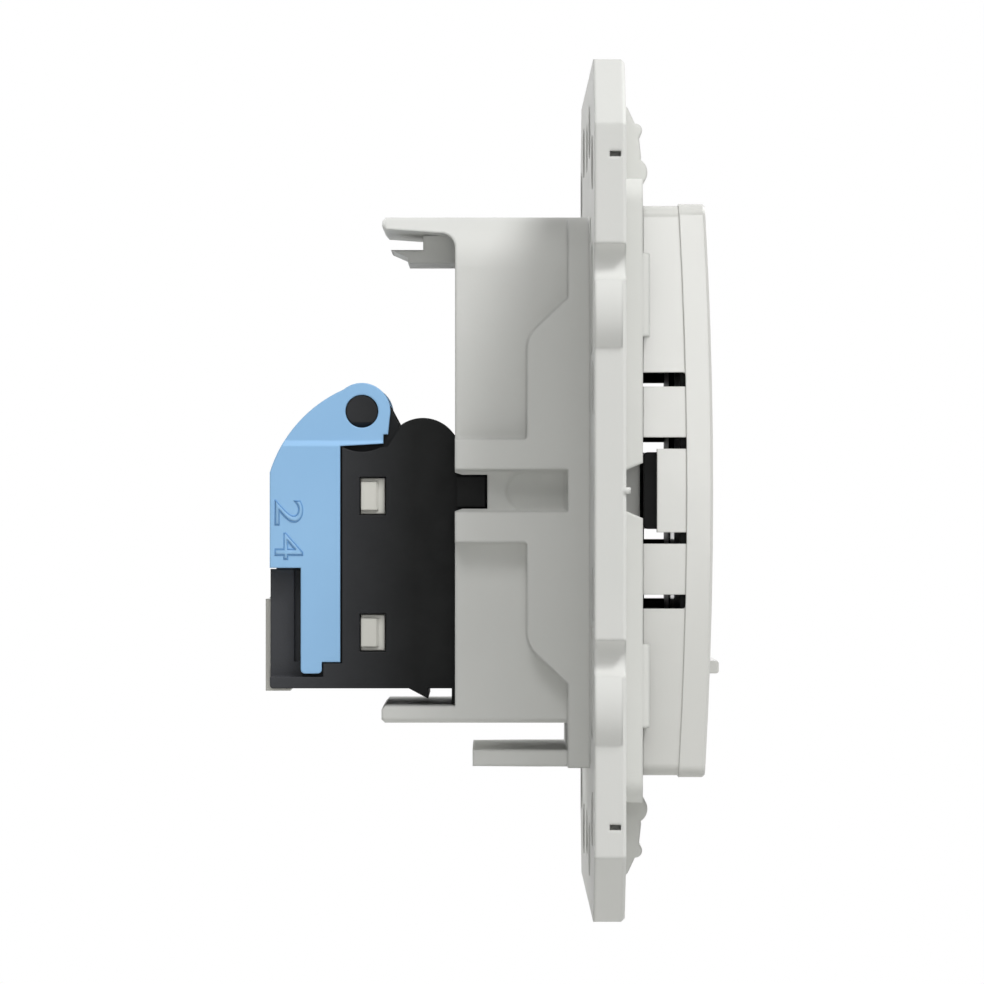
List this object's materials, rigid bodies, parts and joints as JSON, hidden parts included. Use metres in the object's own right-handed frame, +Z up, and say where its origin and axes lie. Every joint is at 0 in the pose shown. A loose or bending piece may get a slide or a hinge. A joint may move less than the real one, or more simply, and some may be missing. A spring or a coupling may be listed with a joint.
{
  "type": "ethernet wall socket",
  "caption": "Flush network wall socket: square support frame with a jack holder behind, plain centre plate with a sliding dust shutter, and a modular jack with a hinged wire lever.",
  "frame": {"origin": "midway between the two wall screw holes, on the support frame's rear face where it meets the wall", "axes": "+Z up, -Y out of the wall into the room, +Y into the wall box, +X to the right for a viewer in the room"},
  "size_m": [0.0731, 0.0393, 0.071],
  "materials": {
    "frame_white": "satin moulded",
    "plate_white": "satin moulded",
    "black_plastic": "satin moulded",
    "blue_plastic": "satin moulded",
    "natural_white": "natural moulded",
    "board_green": "lacquered board",
    "contact_gold": "gold-plated",
    "terminal_tin": "tin-plated"
  },
  "bodies": {
    "base": {"support_frame": "frame_white", "centre_plate": "plate_white", "shutter_guide": "black_plastic", "jack_housing": "black_plastic", "terminal_carrier": "natural_white", "wire_organiser": "natural_white", "circuit_board": "board_green", "contact_comb": "black_plastic", "spring_contact_1": "contact_gold", "spring_contact_2": "contact_gold", "spring_contact_3": "contact_gold", "spring_contact_4": "contact_gold", "spring_contact_5": "contact_gold", "spring_contact_6": "contact_gold", "spring_contact_7": "contact_gold", "spring_contact_8": "contact_gold", "wire_terminal_1": "terminal_tin", "wire_terminal_2": "terminal_tin", "wire_terminal_3": "terminal_tin", "wire_terminal_4": "terminal_tin", "wire_terminal_5": "terminal_tin", "wire_terminal_6": "terminal_tin", "wire_terminal_7": "terminal_tin", "wire_terminal_8": "terminal_tin"},
    "lever": {"wire_lever": "blue_plastic"},
    "shutter": {"dust_shutter": "plate_white"}
  },
  "joints": [
    {"name": "lever_hinge", "type": "hinge", "parent": "base", "child": "lever", "pos_m": [0, 0.01955, 0.00684], "axis": [1, 0, 0], "range_deg": [0, 90]},
    {"name": "shutter_slide", "type": "slide", "parent": "base", "child": "shutter", "axis": [0, 0, 1], "range_m": [0, 0.017]}
  ]
}
